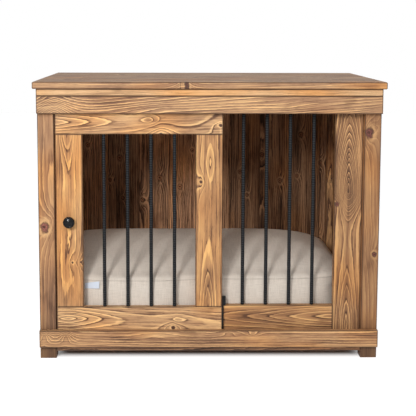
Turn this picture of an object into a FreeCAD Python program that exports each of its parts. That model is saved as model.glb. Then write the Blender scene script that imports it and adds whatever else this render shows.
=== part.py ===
import FreeCAD
import Part
import math
import os

# Pet crate that doubles as a side table: a stained pine frame with boarded walls, a fixed
# grille on the right and a barred door that slides in front of it, and a cushion inside.
# Millimetres. X runs to the right, Y to the back and Z up, and the origin is on the ground
# under the middle of the table top.

# Table top and roof panel
TOP_WIDTH = 1000.0
TOP_DEPTH = 660.0
TOP_THICKNESS = 20.0
TOP_OVERHANG = 10.0
TOP_ARRIS = 2.5
ROOF_THICKNESS = 20.0

# Posts and rails of the frame
POST_SIDE = 47.0
POST_HEIGHT = 765.0
TIMBER_ARRIS = 1.5
FACE_RAIL_HEIGHT = 50.0
FACE_RAIL_THICKNESS = 18.0
FACE_RAIL_LIFT = 36.0
SIDE_RAIL_HEIGHT = 50.0
SIDE_RAIL_SETBACK = 6.0
REAR_RAIL_HEIGHT = 50.0

# Tongued and grooved wall boards, and the cleats behind them in the rear corners
BOARD_THICKNESS = 14.0
BOARD_COVER = 103.5
BACK_FIRST_BOARD = 115.5
LEAST_RIPPED_BOARD = 30.0
TONGUE_LENGTH = 5.5
TONGUE_THICKNESS = 4.5
TONGUE_CLEARANCE = 0.2
VEE_DEPTH = 2.0
CLEAT_SIDE = 24.0

# Floor
FLOOR_THICKNESS = 18.0
FLOOR_BOARD_COUNT = 6
FLOOR_BOARD_GAP = 2.0
BEARER_HEIGHT = 47.0
BEARER_WIDTH = 47.0
FRONT_BEARER_WIDTH = 72.0

# Sliding door and the strip it runs on
DOOR_PAST_MIDDLE = 38.0
DOOR_TOP_LAP = 17.0
DOOR_THICKNESS = 20.0
DOOR_STILE_WIDTH = 77.0
DOOR_RAIL_HEIGHT = 77.0
DOOR_SIDE_GAP = 3.0
DOOR_FRONT_GAP = 1.0
DOOR_REAR_GAP = 3.0
RUNNER_WIDTH = 14.0
RUNNER_HEIGHT = 7.0
RUN_CLEARANCE = 0.3

# Fixed grille
GRILLE_THICKNESS = 20.0
GRILLE_MIDDLE_STILE_WIDTH = 77.0
GRILLE_END_STILE_WIDTH = 80.0
GRILLE_BOTTOM_RAIL_HEIGHT = 83.0
GRILLE_TOP_RAIL_HEIGHT = 50.0

# Round bars of the door and the grille
BAR_DIAMETER = 10.0
BAR_COUNT = 4
BAR_END_SPACE_SHARE = 0.9
BAR_BORE_DEPTH = 20.0
BAR_CLEARANCE = 0.1
BAR_END_PLAY = 0.5

# Loose tenons, half in each of the two timbers that they join
TENON_LENGTH = 60.0
TENON_WIDTH = 30.0
TENON_THICKNESS = 8.0
TENON_ARRIS = 1.0
TENON_CLEARANCE = 0.1
TENON_END_PLAY = 0.5

# Knob
KNOB_DIAMETER = 33.5
KNOB_PROJECTION = 26.0
KNOB_BASE_DIAMETER = 20.0
KNOB_BASE_HEIGHT = 3.0
KNOB_NECK_DIAMETER = 12.0
KNOB_HEAD_HEIGHT = 12.0
KNOB_RIM_RADIUS = 4.0
KNOB_RING_DIAMETER = 22.0
KNOB_RING_DEPTH = 1.5
KNOB_ROUND_STEPS = 2
KNOB_SCREW_DIAMETER = 4.5
KNOB_SCREW_HEAD_DIAMETER = 9.0
KNOB_SCREW_HEAD_DEPTH = 3.0
KNOB_SCREW_BITE = 10.0
KNOB_SCREW_CLEARANCE = 0.1

# Magnetic catch and its strike plate
CATCH_WIDTH = 12.0
CATCH_HEIGHT = 25.0
CATCH_DEPTH = 14.0
CATCH_ARRIS = 1.5
CATCH_GAP = 0.3
STRIKE_WIDTH = 38.0
STRIKE_PROJECTION = 6.0
STRIKE_THICKNESS = 1.5
STRIKE_LIFT = 2.0

# Cushion
CUSHION_BORDER = 141.0
CUSHION_CROWN = 84.0
CUSHION_CORNER_RADIUS = 95.0
CUSHION_SIDE_DRAW = 9.0
CUSHION_LEFT_GAP = 5.0
CUSHION_RIGHT_GAP = 31.0
CUSHION_FRONT_GAP = 4.0
CUSHION_BACK_GAP = 8.0
CUSHION_REST_GAP = 0.3
CUSHION_BASE_INSET = 14.0
CUSHION_BASE_LIFT = 18.0

# Levels of the cushion's crown as shares of its height, each with the inset of its outline from
# the seam as a share of the cushion's depth
CROWN_LEVEL_SHARES = (0.0, 0.3, 0.58, 0.8, 0.94, 1.0)
CROWN_INSET_SHARES = (0.0, 0.04, 0.1, 0.178, 0.27, 0.39)

# Planes that several pieces share
body_half_width = TOP_WIDTH / 2 - TOP_OVERHANG
post_inner_x = body_half_width - POST_SIDE
body_front_y = -TOP_DEPTH / 2 + TOP_OVERHANG
body_back_y = TOP_DEPTH / 2 - TOP_OVERHANG
post_front_y = body_front_y + FACE_RAIL_THICKNESS
front_post_back_y = post_front_y + POST_SIDE
rear_post_front_y = body_back_y - POST_SIDE
back_wall_y = body_back_y - BOARD_THICKNESS
side_rail_inner_x = post_inner_x + BOARD_THICKNESS
side_rail_outer_x = body_half_width - SIDE_RAIL_SETBACK
top_rail_z = POST_HEIGHT - FACE_RAIL_HEIGHT
bottom_rail_top_z = FACE_RAIL_LIFT + FACE_RAIL_HEIGHT
floor_top_z = bottom_rail_top_z
floor_bottom_z = floor_top_z - FLOOR_THICKNESS
bearer_bottom_z = floor_bottom_z - BEARER_HEIGHT
door_left_x = -post_inner_x + DOOR_SIDE_GAP
door_right_x = DOOR_PAST_MIDDLE
door_front_y = post_front_y + DOOR_FRONT_GAP
door_back_y = door_front_y + DOOR_THICKNESS
door_bottom_z = floor_bottom_z + RUNNER_HEIGHT + RUN_CLEARANCE
door_top_z = top_rail_z + DOOR_TOP_LAP
door_bar_low_z = door_bottom_z + DOOR_RAIL_HEIGHT
door_bar_high_z = door_top_z - DOOR_RAIL_HEIGHT
grille_front_y = door_back_y + DOOR_REAR_GAP
grille_back_y = grille_front_y + GRILLE_THICKNESS
grille_middle_left_x = door_right_x - GRILLE_MIDDLE_STILE_WIDTH
grille_end_left_x = post_inner_x - GRILLE_END_STILE_WIDTH
grille_bottom_z = floor_bottom_z
grille_bar_low_z = grille_bottom_z + GRILLE_BOTTOM_RAIL_HEIGHT
grille_bar_high_z = POST_HEIGHT - GRILLE_TOP_RAIL_HEIGHT
door_middle_y = (door_front_y + door_back_y) / 2
grille_middle_y = (grille_front_y + grille_back_y) / 2
knob_x = door_left_x + DOOR_STILE_WIDTH / 2
knob_z = (door_bar_low_z + door_bar_high_z) / 2

AXES = {
    "x": FreeCAD.Vector(1, 0, 0),
    "y": FreeCAD.Vector(0, 1, 0),
    "z": FreeCAD.Vector(0, 0, 1),
}


def save(name, shape):
    shape.exportStep("parts/" + name + ".step")


def block(x_range, y_range, z_range):
    """A plain box between three pairs of planes."""
    corner = FreeCAD.Vector(x_range[0], y_range[0], z_range[0])
    return Part.makeBox(
        x_range[1] - x_range[0],
        y_range[1] - y_range[0],
        z_range[1] - z_range[0],
        corner,
    )


def edges_along(shape, axis):
    """The straight edges of a shape that run along an axis."""
    wanted = AXES[axis]
    found = []
    for edge in shape.Edges:
        run = edge.Vertexes[-1].Point - edge.Vertexes[0].Point
        if abs(run.normalize().dot(wanted)) > math.cos(math.radians(1)):
            found.append(edge)
    return found


def timber(x_range, y_range, z_range, grain, arris=TIMBER_ARRIS):
    """A planed timber, the arrises of its four long edges taken off along the grain."""
    shape = block(x_range, y_range, z_range)
    return shape.makeChamfer(arris, edges_along(shape, grain))


def rod(diameter, start, axis, length):
    """A round rod or bore from a point along an axis."""
    return Part.makeCylinder(diameter / 2, length, FreeCAD.Vector(*start), AXES[axis])


def mirrored(shape):
    """The same piece on the other side of the crate."""
    return shape.mirror(FreeCAD.Vector(0, 0, 0), AXES["x"])


def cut_all(shape, cutters):
    return shape.cut(Part.makeCompound(cutters))


# Loose tenons and their mortises

def tenon_block(joint, run, across, end_play, clearance):
    """A flat box centred on a joint, which runs along one axis and is wide across another."""
    half = {axis: TENON_THICKNESS / 2 + clearance for axis in AXES}
    half[run] = TENON_LENGTH / 2 - end_play
    half[across] = TENON_WIDTH / 2 + clearance
    ranges = [(middle - half[axis], middle + half[axis]) for middle, axis in zip(joint, AXES)]
    return block(*ranges)


def tenon(joint, run, across):
    shape = tenon_block(joint, run, across, TENON_END_PLAY, 0.0)
    return shape.makeChamfer(TENON_ARRIS, edges_along(shape, run))


def mortise(joint, run, across):
    """The pocket that a tenon needs in both of its timbers."""
    return tenon_block(joint, run, across, 0.0, TENON_CLEARANCE)


def side_rail_levels():
    """Lower edges of a side's two rails."""
    return FACE_RAIL_LIFT, POST_HEIGHT - SIDE_RAIL_HEIGHT


def carcass_joints(side):
    """Where one side's two rails meet the front and rear posts."""
    x = side * (side_rail_inner_x + side_rail_outer_x) / 2
    middles = [level + SIDE_RAIL_HEIGHT / 2 for level in side_rail_levels()]
    return [((x, y, z), "y", "z") for y in (front_post_back_y, rear_post_front_y) for z in middles]


def door_joints():
    """Where the door's stiles meet its rails."""
    stiles = (door_left_x + DOOR_STILE_WIDTH / 2, door_right_x - DOOR_STILE_WIDTH / 2)
    return [((x, door_middle_y, z), "z", "x") for x in stiles for z in (door_bar_low_z, door_bar_high_z)]


def grille_joints():
    """Where the grille's stiles meet its top rail and its bottom rail."""
    stiles = (
        grille_middle_left_x + GRILLE_MIDDLE_STILE_WIDTH / 2,
        grille_end_left_x + GRILLE_END_STILE_WIDTH / 2,
    )
    rail_middle_z = grille_bottom_z + GRILLE_BOTTOM_RAIL_HEIGHT / 2
    joints = [((x, grille_middle_y, grille_bar_high_z), "z", "x") for x in stiles]
    joints += [((x, grille_middle_y, rail_middle_z), "x", "z") for x in (door_right_x, grille_end_left_x)]
    return joints


def make_tenons():
    groups = {
        "carcass_tenons": carcass_joints(-1) + carcass_joints(1),
        "door_tenons": door_joints(),
        "grille_tenons": grille_joints(),
    }
    for name, joints in groups.items():
        save(name, Part.makeCompound([tenon(*joint) for joint in joints]))


# Frame: posts, rails, roof panel and table top

def make_posts():
    """Four square posts whose lower ends are the feet."""
    x_range = (post_inner_x, body_half_width)
    front = timber(x_range, (post_front_y, front_post_back_y), (0.0, POST_HEIGHT), "z")
    rear = timber(x_range, (rear_post_front_y, body_back_y), (0.0, POST_HEIGHT), "z")
    mortises = [mortise(*joint) for joint in carcass_joints(1)]
    front = cut_all(front, mortises)
    rear = cut_all(rear, mortises)
    save("front_right_post", front)
    save("front_left_post", mirrored(front))
    save("rear_right_post", rear)
    save("rear_left_post", mirrored(rear))


def make_face_rails():
    """The two rails on the front of the posts; they hide the door's track and guide."""
    for name, bottom in (("front_bottom_rail", FACE_RAIL_LIFT), ("front_top_rail", top_rail_z)):
        rail = timber(
            (-body_half_width, body_half_width),
            (body_front_y, post_front_y),
            (bottom, bottom + FACE_RAIL_HEIGHT),
            "x",
        )
        save(name, rail)


def make_side_rails():
    """Rails between the front and rear posts, outside the wall boards."""
    mortises = [mortise(*joint) for joint in carcass_joints(1)]
    for name, bottom in zip(("bottom", "top"), side_rail_levels()):
        rail = timber(
            (side_rail_inner_x, side_rail_outer_x),
            (front_post_back_y, rear_post_front_y),
            (bottom, bottom + SIDE_RAIL_HEIGHT),
            "y",
        )
        rail = cut_all(rail, mortises)
        save("right_" + name + "_rail", rail)
        save("left_" + name + "_rail", mirrored(rail))


def make_rear_support():
    """The rail and the two corner cleats that the back boards are nailed to."""
    y_range = (back_wall_y - CLEAT_SIDE, back_wall_y)
    cleat_inner_x = post_inner_x - CLEAT_SIDE
    cleat = timber((cleat_inner_x, post_inner_x), y_range, (floor_top_z, POST_HEIGHT), "z")
    save("rear_right_cleat", cleat)
    save("rear_left_cleat", mirrored(cleat))
    z_range = (POST_HEIGHT - REAR_RAIL_HEIGHT, POST_HEIGHT)
    save("rear_top_rail", timber((-cleat_inner_x, cleat_inner_x), y_range, z_range, "x"))


def make_roof_and_top():
    roof_top_z = POST_HEIGHT + ROOF_THICKNESS
    roof = timber(
        (-body_half_width, body_half_width),
        (body_front_y, body_back_y),
        (POST_HEIGHT, roof_top_z),
        "x",
    )
    save("roof_panel", roof)
    top = block(
        (-TOP_WIDTH / 2, TOP_WIDTH / 2),
        (-TOP_DEPTH / 2, TOP_DEPTH / 2),
        (roof_top_z, roof_top_z + TOP_THICKNESS),
    )
    save("table_top", top.makeChamfer(TOP_ARRIS, top.Edges))


# Walls of tongued and grooved boards

def board_joints(start, end, first_width):
    """Where the boards of a wall meet, from its first edge to its last."""
    joints = [start]
    place = start + first_width
    while place < end - LEAST_RIPPED_BOARD:
        joints.append(place)
        place += BOARD_COVER
    return joints + [end]


def board_outline(left, right, grooved, tongued):
    """Section of one board: run along the wall, then depth from the inner face."""
    middle = BOARD_THICKNESS / 2
    groove_half = TONGUE_THICKNESS / 2 + TONGUE_CLEARANCE
    groove_end = left + TONGUE_LENGTH + TONGUE_CLEARANCE
    tongue_half = TONGUE_THICKNESS / 2
    tongue_end = right + TONGUE_LENGTH
    outer = BOARD_THICKNESS
    points = []
    if tongued:
        points += [(right - VEE_DEPTH, 0.0), (right, VEE_DEPTH), (right, middle - tongue_half)]
        points += [(tongue_end, middle - tongue_half), (tongue_end, middle + tongue_half)]
        points += [(right, middle + tongue_half), (right, outer - VEE_DEPTH), (right - VEE_DEPTH, outer)]
    else:
        points += [(right, 0.0), (right, outer)]
    if grooved:
        points += [(left + VEE_DEPTH, outer), (left, outer - VEE_DEPTH), (left, middle + groove_half)]
        points += [(groove_end, middle + groove_half), (groove_end, middle - groove_half)]
        points += [(left, middle - groove_half), (left, VEE_DEPTH), (left + VEE_DEPTH, 0.0)]
    else:
        points += [(left, outer), (left, 0.0)]
    return points


def wall_boards(start, end, first_width, place_point):
    """Upright boards from one edge of a wall to the other, standing where place_point puts them."""
    joints = board_joints(start, end, first_width)
    boards = []
    for index in range(len(joints) - 1):
        grooved = index > 0
        tongued = index < len(joints) - 2
        outline = board_outline(joints[index], joints[index + 1], grooved, tongued)
        corners = [FreeCAD.Vector(*place_point(run, depth), FACE_RAIL_LIFT) for run, depth in outline]
        face = Part.Face(Part.makePolygon(corners + corners[:1]))
        boards.append(face.extrude(AXES["z"] * (POST_HEIGHT - FACE_RAIL_LIFT)))
    return boards


def make_walls():
    def on_back_wall(run, depth):
        return run, back_wall_y + depth

    def on_right_wall(run, depth):
        return post_inner_x + depth, run

    back = wall_boards(-post_inner_x, post_inner_x, BACK_FIRST_BOARD, on_back_wall)
    for number, board in enumerate(back, start=1):
        save("back_board_%d" % number, board)
    right = Part.makeCompound(wall_boards(front_post_back_y, rear_post_front_y, BOARD_COVER, on_right_wall))
    save("right_wall_boards", right)
    save("left_wall_boards", mirrored(right))


# Floor

def make_floor():
    """Three bearers across the crate: the front one carries the door's runner, the grille and the
    edge of the floor boards, which start behind the grille."""
    x_range = (-post_inner_x, post_inner_x)
    bearer_z = (bearer_bottom_z, floor_bottom_z)
    bearers = {
        "front_bearer": (post_front_y, FRONT_BEARER_WIDTH),
        "middle_bearer": (-BEARER_WIDTH / 2, BEARER_WIDTH),
        "rear_bearer": (back_wall_y - BEARER_WIDTH, BEARER_WIDTH),
    }
    for name, (front, width) in bearers.items():
        save(name, timber(x_range, (front, front + width), bearer_z, "x"))
    gaps = FLOOR_BOARD_GAP * (FLOOR_BOARD_COUNT - 1)
    board_width = (back_wall_y - grille_back_y - gaps) / FLOOR_BOARD_COUNT
    boards = []
    for index in range(FLOOR_BOARD_COUNT):
        front = grille_back_y + index * (board_width + FLOOR_BOARD_GAP)
        boards.append(timber(x_range, (front, front + board_width), (floor_bottom_z, floor_top_z), "x"))
    save("floor_boards", Part.makeCompound(boards))
    runner_y = (door_middle_y - RUNNER_WIDTH / 2, door_middle_y + RUNNER_WIDTH / 2)
    save("door_runner", timber(x_range, runner_y, (floor_bottom_z, floor_bottom_z + RUNNER_HEIGHT), "x"))


# Leaves: the sliding door and the fixed grille

def bar_places(left_x, right_x):
    """The bars' centres between two stiles."""
    pitch = (right_x - left_x) / (BAR_COUNT - 1 + 2 * BAR_END_SPACE_SHARE)
    return [left_x + pitch * (BAR_END_SPACE_SHARE + index) for index in range(BAR_COUNT)]


door_bar_xs = bar_places(door_left_x + DOOR_STILE_WIDTH, door_right_x - DOOR_STILE_WIDTH)
grille_bar_xs = bar_places(door_right_x, grille_end_left_x)


def bar_bores(bar_xs, y, low_z, high_z):
    """Blind bores for a leaf's bars, in the rails below and above them."""
    bottom = low_z - BAR_BORE_DEPTH
    length = high_z - low_z + 2 * BAR_BORE_DEPTH
    diameter = BAR_DIAMETER + 2 * BAR_CLEARANCE
    return [rod(diameter, (x, y, bottom), "z", length) for x in bar_xs]


def make_bars(prefix, bar_xs, y, low_z, high_z):
    bottom = low_z - BAR_BORE_DEPTH + BAR_END_PLAY
    length = high_z - low_z + 2 * (BAR_BORE_DEPTH - BAR_END_PLAY)
    for number, x in enumerate(bar_xs, start=1):
        save("%s_bar_%d" % (prefix, number), rod(BAR_DIAMETER, (x, y, bottom), "z", length))


def make_door():
    """Two full-width rails with two stiles and the bars between them."""
    y_range = (door_front_y, door_back_y)
    hollows = [mortise(*joint) for joint in door_joints()]
    hollows += bar_bores(door_bar_xs, door_middle_y, door_bar_low_z, door_bar_high_z)
    hollows.append(knob_screw(KNOB_SCREW_CLEARANCE))
    for name, bottom in (("door_bottom_rail", door_bottom_z), ("door_top_rail", door_bar_high_z)):
        rail = timber((door_left_x, door_right_x), y_range, (bottom, bottom + DOOR_RAIL_HEIGHT), "x")
        save(name, cut_all(rail, hollows))
    z_range = (door_bar_low_z, door_bar_high_z)
    left = timber((door_left_x, door_left_x + DOOR_STILE_WIDTH), y_range, z_range, "z")
    save("door_left_stile", cut_all(left, hollows))
    right = timber((door_right_x - DOOR_STILE_WIDTH, door_right_x), y_range, z_range, "z")
    save("door_right_stile", cut_all(right, hollows))
    make_bars("door", door_bar_xs, door_middle_y, door_bar_low_z, door_bar_high_z)


def knob_screw(clearance):
    """The screw from the back of the stile into the knob, its head sunk; with a clearance, its bore."""
    start = FreeCAD.Vector(knob_x, door_back_y, knob_z)
    towards_knob = AXES["y"] * -1
    radius = KNOB_SCREW_DIAMETER / 2 + clearance
    length = DOOR_THICKNESS + KNOB_SCREW_BITE + clearance
    shank = Part.makeCylinder(radius, length, start, towards_knob)
    head_radius = KNOB_SCREW_HEAD_DIAMETER / 2 + clearance
    head = Part.makeCylinder(head_radius, KNOB_SCREW_HEAD_DEPTH, start, towards_knob)
    return shank.fuse(head)


def quarter_round(centre, radius, rise, start):
    """Points of a quarter turn about a centre, from a start angle in degrees."""
    angles = [math.radians(start + 90 * step / KNOB_ROUND_STEPS) for step in range(KNOB_ROUND_STEPS + 1)]
    return [(centre[0] + radius * math.cos(angle), centre[1] + rise * math.sin(angle)) for angle in angles]


def make_knob():
    """A turned mushroom knob whose face has a ring cut round a low dome, and its screw."""
    base = KNOB_BASE_DIAMETER / 2
    neck = KNOB_NECK_DIAMETER / 2
    rim_round_radius = KNOB_DIAMETER / 2 - KNOB_RIM_RADIUS
    head_back = KNOB_PROJECTION - KNOB_HEAD_HEIGHT
    rim_back = (rim_round_radius, head_back + KNOB_RIM_RADIUS)
    rim_front = (rim_round_radius, KNOB_PROJECTION - KNOB_RIM_RADIUS)
    dome_foot = (0.0, KNOB_PROJECTION - KNOB_RING_DEPTH)
    outline = [
        (0.0, 0.0),
        (base, 0.0),
        (base, KNOB_BASE_HEIGHT),
        (neck, KNOB_BASE_HEIGHT),
        (neck, head_back),
        *quarter_round(rim_back, KNOB_RIM_RADIUS, KNOB_RIM_RADIUS, -90),
        *quarter_round(rim_front, KNOB_RIM_RADIUS, KNOB_RIM_RADIUS, 0),
        *quarter_round(dome_foot, KNOB_RING_DIAMETER / 2, KNOB_RING_DEPTH, 0),
    ]
    corners = [FreeCAD.Vector(knob_x + radius, door_front_y - height, knob_z) for radius, height in outline]
    face = Part.Face(Part.makePolygon(corners + corners[:1]))
    knob = face.revolve(corners[0], AXES["y"], 360)
    save("door_knob", knob.cut(knob_screw(KNOB_SCREW_CLEARANCE)))
    save("knob_screw", knob_screw(0.0))


def make_grille():
    """The fixed leaf: a top rail that also guides the door, two stiles, a low rail and the bars."""
    y_range = (grille_front_y, grille_back_y)
    hollows = [mortise(*joint) for joint in grille_joints()]
    hollows += bar_bores(grille_bar_xs, grille_middle_y, grille_bar_low_z, grille_bar_high_z)
    top = timber((-post_inner_x, post_inner_x), y_range, (grille_bar_high_z, POST_HEIGHT), "x")
    save("grille_top_rail", cut_all(top, hollows))
    low = timber((door_right_x, grille_end_left_x), y_range, (grille_bottom_z, grille_bar_low_z), "x")
    save("grille_bottom_rail", cut_all(low, hollows))
    stile_z = (grille_bottom_z, grille_bar_high_z)
    middle = timber((grille_middle_left_x, door_right_x), y_range, stile_z, "z")
    save("grille_middle_stile", cut_all(middle, hollows))
    end = timber((grille_end_left_x, post_inner_x), y_range, stile_z, "z")
    save("grille_end_stile", cut_all(end, hollows))
    make_bars("grille", grille_bar_xs, grille_middle_y, grille_bar_low_z, grille_bar_high_z)


def make_catch():
    """A magnetic catch in the grille's corner, and the tall strike plate on the back of the door,
    which stands out past the door's edge."""
    front = door_back_y + STRIKE_THICKNESS + CATCH_GAP
    x_range = (door_right_x, door_right_x + CATCH_WIDTH)
    z_range = (grille_bar_low_z, grille_bar_low_z + CATCH_HEIGHT)
    body = block(x_range, (front, front + CATCH_DEPTH), z_range)
    save("magnetic_catch", body.makeChamfer(CATCH_ARRIS, edges_along(body, "y")))
    strike_right_x = door_right_x + STRIKE_PROJECTION
    strike = block(
        (strike_right_x - STRIKE_WIDTH, strike_right_x),
        (door_back_y, door_back_y + STRIKE_THICKNESS),
        (door_bottom_z + STRIKE_LIFT, z_range[1]),
    )
    save("strike_plate", strike.makeChamfer(CATCH_ARRIS, edges_along(strike, "y")))


# Cushion

cushion_left_x = -post_inner_x + CUSHION_LEFT_GAP
cushion_right_x = post_inner_x - CUSHION_RIGHT_GAP
cushion_front_y = grille_back_y + CUSHION_FRONT_GAP
cushion_back_y = back_wall_y - CLEAT_SIDE - CUSHION_BACK_GAP
cushion_depth = cushion_back_y - cushion_front_y


def cushion_outline(inset, z):
    """A rounded rectangle whose sides draw in between the corners."""
    half_x = (cushion_right_x - cushion_left_x) / 2 - inset
    half_y = cushion_depth / 2 - inset
    radius = CUSHION_CORNER_RADIUS * half_y / (cushion_depth / 2)
    diagonal = radius * (1 - math.sin(math.radians(45)))
    run_x = half_x - radius
    run_y = half_y - radius
    draw = CUSHION_SIDE_DRAW * half_y / (cushion_depth / 2)
    middle_x = (cushion_left_x + cushion_right_x) / 2
    middle_y = (cushion_front_y + cushion_back_y) / 2

    def arc(*points):
        return Part.Arc(*[FreeCAD.Vector(middle_x + x, middle_y + y, z) for x, y in points]).toShape()

    corner_x = half_x - diagonal
    corner_y = half_y - diagonal
    edges = [
        arc((-run_x, -half_y), (0.0, draw - half_y), (run_x, -half_y)),
        arc((run_x, -half_y), (corner_x, -corner_y), (half_x, -run_y)),
        arc((half_x, -run_y), (half_x - draw, 0.0), (half_x, run_y)),
        arc((half_x, run_y), (corner_x, corner_y), (run_x, half_y)),
        arc((run_x, half_y), (0.0, half_y - draw), (-run_x, half_y)),
        arc((-run_x, half_y), (-corner_x, corner_y), (-half_x, run_y)),
        arc((-half_x, run_y), (draw - half_x, 0.0), (-half_x, -run_y)),
        arc((-half_x, -run_y), (-corner_x, -corner_y), (-run_x, -half_y)),
    ]
    return Part.Wire(edges)


def make_cushion():
    """An upright border up to the seam, and a crown that swells above it."""
    base_z = floor_top_z + CUSHION_REST_GAP
    seam_z = base_z + CUSHION_BORDER
    outlines = [
        cushion_outline(CUSHION_BASE_INSET, base_z),
        cushion_outline(0.0, base_z + CUSHION_BASE_LIFT),
    ]
    for level_share, inset_share in zip(CROWN_LEVEL_SHARES, CROWN_INSET_SHARES):
        outlines.append(cushion_outline(cushion_depth * inset_share, seam_z + CUSHION_CROWN * level_share))
    save("cushion", Part.makeLoft(outlines, True, True))


def main():
    os.makedirs("parts", exist_ok=True)
    make_posts()
    make_face_rails()
    make_side_rails()
    make_rear_support()
    make_roof_and_top()
    make_walls()
    make_floor()
    make_door()
    make_knob()
    make_grille()
    make_catch()
    make_cushion()
    make_tenons()


main()
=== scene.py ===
import math
import random
from collections import namedtuple

import bpy
import numpy as np
from mathutils import Matrix, Vector
from mathutils.bvhtree import BVHTree


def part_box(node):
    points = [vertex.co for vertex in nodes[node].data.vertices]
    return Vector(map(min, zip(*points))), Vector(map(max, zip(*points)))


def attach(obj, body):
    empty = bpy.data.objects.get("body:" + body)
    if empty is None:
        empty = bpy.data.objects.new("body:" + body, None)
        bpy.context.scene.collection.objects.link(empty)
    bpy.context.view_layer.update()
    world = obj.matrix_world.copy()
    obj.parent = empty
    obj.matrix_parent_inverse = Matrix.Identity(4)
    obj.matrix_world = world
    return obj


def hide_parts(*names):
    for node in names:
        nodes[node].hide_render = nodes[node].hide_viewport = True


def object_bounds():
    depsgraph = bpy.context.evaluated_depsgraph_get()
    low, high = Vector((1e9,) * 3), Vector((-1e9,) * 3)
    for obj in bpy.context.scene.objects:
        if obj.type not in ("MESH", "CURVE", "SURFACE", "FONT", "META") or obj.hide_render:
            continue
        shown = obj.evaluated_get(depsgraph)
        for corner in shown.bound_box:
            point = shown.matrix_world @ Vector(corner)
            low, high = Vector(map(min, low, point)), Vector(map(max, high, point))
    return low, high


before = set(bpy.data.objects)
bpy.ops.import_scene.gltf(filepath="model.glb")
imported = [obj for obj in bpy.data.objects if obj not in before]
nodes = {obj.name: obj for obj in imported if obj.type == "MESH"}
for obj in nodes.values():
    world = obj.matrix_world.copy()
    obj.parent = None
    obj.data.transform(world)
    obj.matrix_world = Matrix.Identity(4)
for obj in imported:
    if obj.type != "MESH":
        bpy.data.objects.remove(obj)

# Looks of the pet crate: stained pine with its grain and knots, ribbed black bars, a turned black knob
# and a linen cushion, in studio light. Metres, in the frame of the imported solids.

cad_low, cad_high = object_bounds()

# Camera, fitted to the photograph's frame: angles in degrees, lens and sensor in millimetres
CAMERA_PLACE = (-0.0935, -3.3193, 0.9506)
CAMERA_PITCH = 6.864
CAMERA_YAW = -0.718
CAMERA_ROLL = 0.119
CAMERA_LENS = 92.172
CAMERA_SENSOR = 36.0
CAMERA_SHIFT_SHARES = (0.0433, -0.1202)

# Studio light: the lamps' power in watts, and the strength of the even light
KEY_PLACE = (-1.4, -3.85, 1.9)
KEY_AIM = (0.0, -0.2, 0.4)
KEY_SIZE = (0.75, 0.75)
KEY_POWER = 80.0
FILL_PLACE = (0.3, -3.5, 2.7)
FILL_SIZE = (2.4, 1.2)
FILL_POWER = 46.0
AMBIENT_STRENGTH = 0.15
WHITE = (1.0, 1.0, 1.0)
# Floor: its paint, and a painted glow that fades out towards the crate, leaving a painted shadow under its
# edges
FLOOR_HALF = 9.0
FLOOR_COLOUR = (0.9, 0.9, 0.9)
FLOOR_PAINTED_GLOW = 0.8
FLOOR_PAINTED_GLOW_FADE = (-0.085, -0.012)
FLOOR_PAINTED_GLOW_ROUND = 0.03


# Node trees

class Tree:
    """Short calls that add nodes to one tree; an argument is a socket or a plain value."""

    def __init__(self, tree):
        self.tree = tree

    def add(self, kind, **settings):
        node = self.tree.nodes.new(kind)
        for name, value in settings.items():
            setattr(node, name, value)
        return node

    def put(self, socket, value):
        if isinstance(value, bpy.types.NodeSocket):
            self.tree.links.new(value, socket)
        elif socket.type == "RGBA":
            socket.default_value = (*value, 1.0)
        else:
            socket.default_value = value

    def fill(self, node, values):
        for name, value in values.items():
            self.put(node.inputs[name], value)

    def feed(self, node, *values):
        for socket, value in zip(node.inputs, values):
            self.put(socket, value)
        return node.outputs

    def math(self, operation, *values):
        return self.feed(self.add("ShaderNodeMath", operation=operation), *values)[0]

    def plus(self, *values):
        return self.math("ADD", *values)

    def minus(self, *values):
        return self.math("SUBTRACT", *values)

    def times(self, *values):
        return self.math("MULTIPLY", *values)

    def vector(self, operation, *values):
        outputs = self.feed(self.add("ShaderNodeVectorMath", operation=operation), *values)
        return outputs["Value" if operation == "LENGTH" else "Vector"]

    def split(self, vector):
        return self.feed(self.add("ShaderNodeSeparateXYZ"), vector)

    def join(self, x, y, z):
        return self.feed(self.add("ShaderNodeCombineXYZ"), x, y, z)[0]

    def place(self):
        """The point that is shaded, in the piece's own frame."""
        return self.add("ShaderNodeTexCoord").outputs["Object"]

    def noise(self, place, waves, seed, detail=2.0, roughness=0.5, output="Fac"):
        """Noise about a half, with so many waves to a metre along each axis."""
        node = self.add("ShaderNodeTexNoise", noise_dimensions="4D")
        self.fill(node, {"Vector": self.vector("MULTIPLY", place, waves), "W": seed, "Scale": 1.0,
                         "Detail": detail, "Roughness": roughness})
        return node.outputs[output]

    def swing(self, noise, gain):
        """A noise about a half, turned into a swing about zero."""
        return self.times(self.minus(noise, 0.5), gain)

    def ramp(self, share, stops):
        """Grey tones between stops, each a share and its tone."""
        node = self.add("ShaderNodeValToRGB")
        elements = node.color_ramp.elements
        while len(elements) < len(stops):
            elements.new(1.0)
        for element, (place, tone) in zip(elements, stops):
            element.position = place
            element.color = (tone, tone, tone, 1.0)
        return self.feed(node, share)[0]

    def spread(self, value, low, high, to_low, to_high, kind="LINEAR"):
        """Carries a value between low and high over to lie between two others."""
        node = self.add("ShaderNodeMapRange", interpolation_type=kind)
        return self.feed(node, value, low, high, to_low, to_high)[0]

    def smooth(self, *values):
        return self.spread(*values, kind="SMOOTHSTEP")

    def mix(self, share, first, second, blend="MIX"):
        node = self.add("ShaderNodeMix", data_type="RGBA", blend_type=blend)
        for number, value in ((0, share), (6, first), (7, second)):
            self.put(node.inputs[number], value)
        return node.outputs[2]

    def bump(self, height, depth, strength):
        node = self.add("ShaderNodeBump")
        self.fill(node, {"Height": height, "Distance": depth, "Strength": strength})
        return node.outputs["Normal"]


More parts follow.
